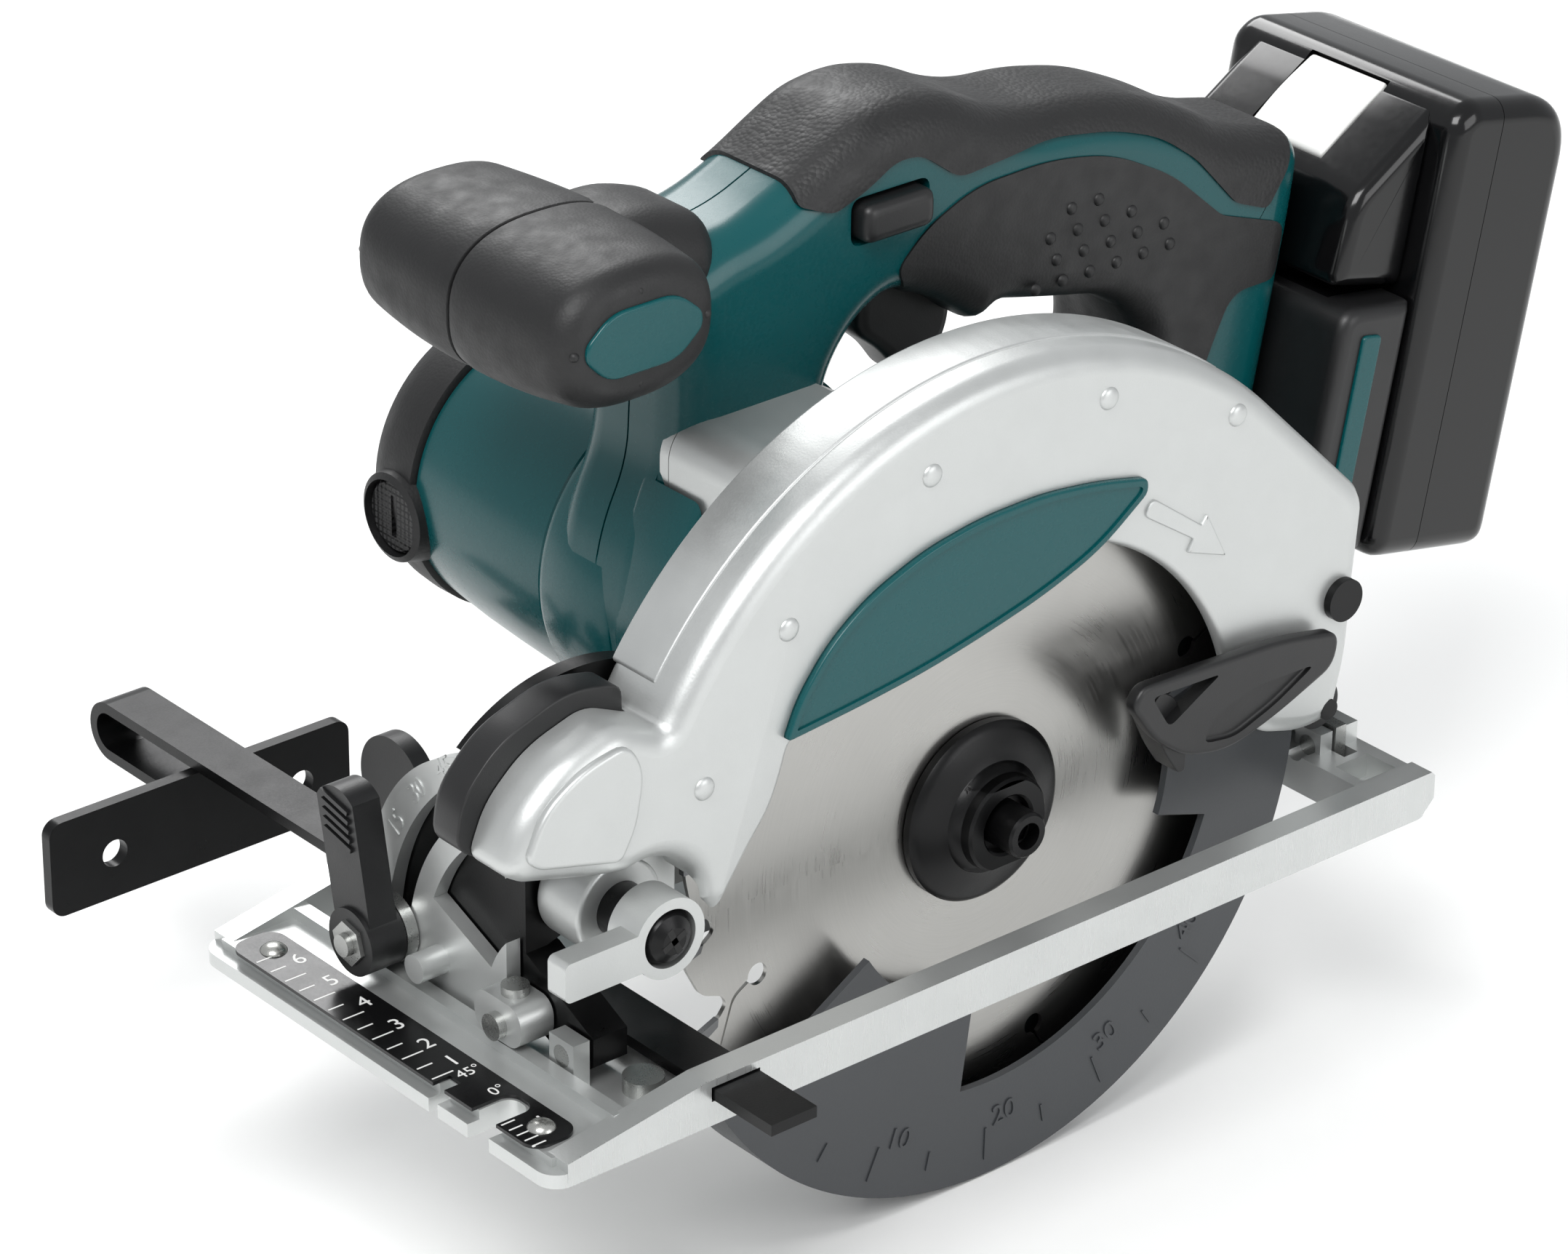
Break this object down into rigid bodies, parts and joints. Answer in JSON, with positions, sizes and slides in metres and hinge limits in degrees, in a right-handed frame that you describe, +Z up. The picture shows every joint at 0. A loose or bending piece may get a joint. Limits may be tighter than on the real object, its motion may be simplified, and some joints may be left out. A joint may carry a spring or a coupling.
{
  "type": "circular saw",
  "caption": "Cordless circular saw with bevel base, blade guards, top handle, front grip, guide rule and slide-on battery pack.",
  "frame": {"origin": "point of the sole plane straight below the arbor, in the middle plane of the blade", "axes": "+X to the rear (battery end), +Y from the blade to the motor, +Z up from the sole"},
  "size_m": [0.3411, 0.2412, 0.2342],
  "materials": {
    "cast_silver": "satin, lightly textured die casting",
    "teal_shell": "satin moulded",
    "black_rubber": "soft, fine texture",
    "black_pack": "glossy moulded",
    "grey_guard": "matte moulded",
    "black_steel": "satin black coating",
    "bright_steel": "ground",
    "white_plastic": "satin",
    "zinc_steel": "zinc plated",
    "copper_winding": "varnished wire",
    "scale_black": "matt black with white marks",
    "cell_wrap": "shrink sleeve",
    "black_plastic": "matte moulded",
    "blade_plate": "ground and lacquered",
    "rubber_stop": "matte"
  },
  "bodies": {
    "base": {"base_plate": "cast_silver", "scale_plate": "scale_black", "scale_rivets": "bright_steel", "bevel_quadrant": "cast_silver", "set_screws": "zinc_steel", "bevel_pins": "zinc_steel"},
    "rule": {"guide_bar": "black_steel", "guide_fence": "black_steel"},
    "rule_clamp": {"thumb_screw": "zinc_steel"},
    "carriage": {"tilt_bracket": "black_steel", "pivot_collar": "cast_silver", "pivot_screw": "black_steel", "bevel_bolt": "zinc_steel", "depth_guide": "zinc_steel"},
    "bevel_handle": {"bevel_lever": "black_plastic", "lever_nut": "zinc_steel"},
    "head": {"upper_guard": "cast_silver", "guard_badge": "teal_shell", "rubber_stopper": "rubber_stop", "guard_screws": "black_steel", "gear_housing": "cast_silver", "bearing_plate": "cast_silver", "bearings": "bright_steel", "motor_housing": "teal_shell", "end_cap": "black_plastic", "stator": "copper_winding", "brush_caps": "black_plastic", "near_handle_shell": "teal_shell", "far_handle_shell": "teal_shell", "top_pad": "black_rubber", "side_grips": "black_rubber", "front_grip": "black_rubber", "grip_emblem": "teal_shell", "switch_body": "black_plastic", "battery_mount": "black_plastic"},
    "arbor": {"saw_blade": "blade_plate", "outer_flange": "black_steel", "inner_flange": "black_steel", "blade_bolt": "black_steel", "spindle": "bright_steel", "drive_gear": "zinc_steel"},
    "idler": {"idler_shaft": "bright_steel", "idler_pinion": "zinc_steel", "idler_gear": "zinc_steel"},
    "rotor": {"armature": "copper_winding", "armature_shaft": "bright_steel", "cooling_fan": "black_plastic", "armature_pinion": "zinc_steel"},
    "guard": {"lower_guard": "grey_guard", "guard_lever": "black_plastic"},
    "switch_trigger": {"trigger": "black_plastic"},
    "lock_off": {"lock_off_button": "black_plastic"},
    "arbor_lock": {"spindle_lock": "black_plastic"},
    "depth_handle": {"depth_lever": "black_plastic"},
    "battery": {"battery_rear_shell": "black_pack", "battery_front_shell": "black_pack", "battery_cells": "cell_wrap"},
    "release_key": {"battery_key": "white_plastic"}
  },
  "joints": [
    {"name": "rule_slide", "type": "slide", "parent": "base", "child": "rule", "axis": [0, 1, 0], "range_m": [-0.058, 0.018]},
    {"name": "rule_clamp_turn", "type": "hinge", "parent": "base", "child": "rule_clamp", "pos_m": [-0.0935, 0.08, 0.02], "axis": [0, 0, 1], "range_deg": [0, 150]},
    {"name": "bevel_tilt", "type": "hinge", "parent": "base", "child": "carriage", "pos_m": [-0.1, -0.005, 0.01], "axis": [1, 0, 0], "range_deg": [0, 50]},
    {"name": "bevel_lock", "type": "hinge", "parent": "carriage", "child": "bevel_handle", "pos_m": [-0.124, 0.051, 0.016], "axis": [1, 0, 0], "range_deg": [-60, 0]},
    {"name": "depth_swing", "type": "hinge", "parent": "carriage", "child": "head", "pos_m": [-0.099, 0, 0.037], "axis": [0, -1, 0], "range_deg": [0, 28]},
    {"name": "arbor_spin", "type": "hinge", "parent": "head", "child": "arbor", "pos_m": [0, 0, 0.0255], "axis": [0, -1, 0], "continuous": true},
    {"name": "idler_spin", "type": "hinge", "parent": "head", "child": "idler", "pos_m": [-0.00474, 0.03, 0.04697], "axis": [0, -1, 0], "continuous": true},
    {"name": "rotor_spin", "type": "hinge", "parent": "head", "child": "rotor", "pos_m": [-0.02, 0.1, 0.0655], "axis": [0, -1, 0], "continuous": true},
    {"name": "guard_swing", "type": "hinge", "parent": "head", "child": "guard", "pos_m": [0, 0, 0.0255], "axis": [0, -1, 0], "range_deg": [0, 120], "stiffness_Nm_per_rad": 0.08, "springref_deg": -68.75},
    {"name": "trigger_pull", "type": "hinge", "parent": "head", "child": "switch_trigger", "pos_m": [0.014, 0.06, 0.128], "axis": [0, -1, 0], "range_deg": [0, 12], "stiffness_Nm_per_rad": 0.5, "springref_deg": -11.46},
    {"name": "lock_off_push", "type": "slide", "parent": "head", "child": "lock_off", "axis": [0, 1, 0], "range_m": [-0.003, 0.003], "stiffness_N_per_m": 400},
    {"name": "arbor_lock_push", "type": "slide", "parent": "head", "child": "arbor_lock", "axis": [1, 0, 0], "range_m": [0, 0.004], "stiffness_N_per_m": 400, "springref_m": -0.002},
    {"name": "depth_lock", "type": "hinge", "parent": "head", "child": "depth_handle", "pos_m": [0.05091, 0.02, 0.03177], "axis": [0, 1, 0], "range_deg": [0, 40]},
    {"name": "battery_slide", "type": "slide", "parent": "head", "child": "battery", "axis": [0.1977, 0, 0.9803], "range_m": [0, 0.07]},
    {"name": "key_press", "type": "slide", "parent": "battery", "child": "release_key", "axis": [0.5244, 0, -0.8515], "range_m": [0, 0.0018], "stiffness_N_per_m": 400, "springref_m": -0.002}
  ],
  "couplings": [
    {"joint": "idler_spin", "follows": "arbor_spin", "ratio": -2.1429},
    {"joint": "rotor_spin", "follows": "arbor_spin", "ratio": 6.4286}
  ]
}
